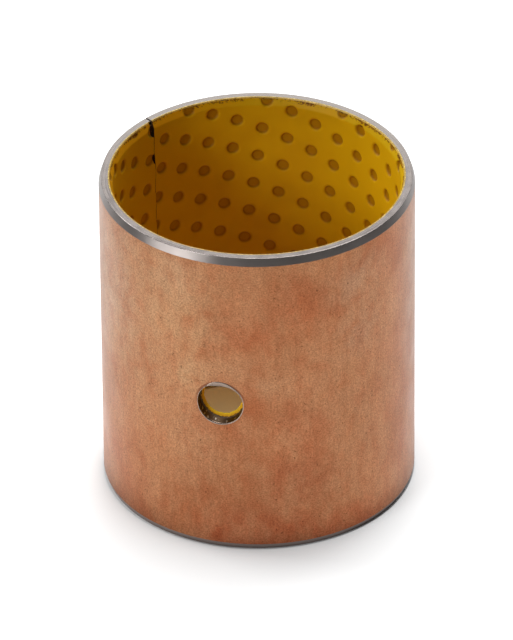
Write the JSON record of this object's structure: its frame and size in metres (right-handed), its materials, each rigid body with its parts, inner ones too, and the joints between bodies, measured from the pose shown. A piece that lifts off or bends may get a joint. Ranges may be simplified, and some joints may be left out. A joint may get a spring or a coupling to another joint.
{
  "type": "acetal-lined wrapped bushing",
  "caption": "Split plain bushing wrapped from copper-plated steel strip, with a porous bronze layer and an acetal lining full of grease pockets; one oil hole.",
  "frame": {"origin": "middle of the lower end face, on the bore axis", "axes": "+Z along the bore axis, -Y towards the side with the oil hole, which sits 14 degrees from -Y towards -X; the butt joint is 120 degrees from the hole"},
  "size_m": [0.055, 0.055, 0.06],
  "materials": {
    "plated_steel": "thin matt copper plating on the outside and around the oil hole; bare machined steel on both end faces and outer chamfers",
    "porous_bronze": "sintered, seen only as a thin ragged line on the inner chamfers and in the oil hole",
    "acetal": "satin ochre yellow, rolled smooth, darker in the floors of the pockets"
  },
  "bodies": {
    "root": {"steel_backing": "plated_steel", "bronze_interlayer": "porous_bronze", "acetal_lining": "acetal"}
  },
  "joints": []
}
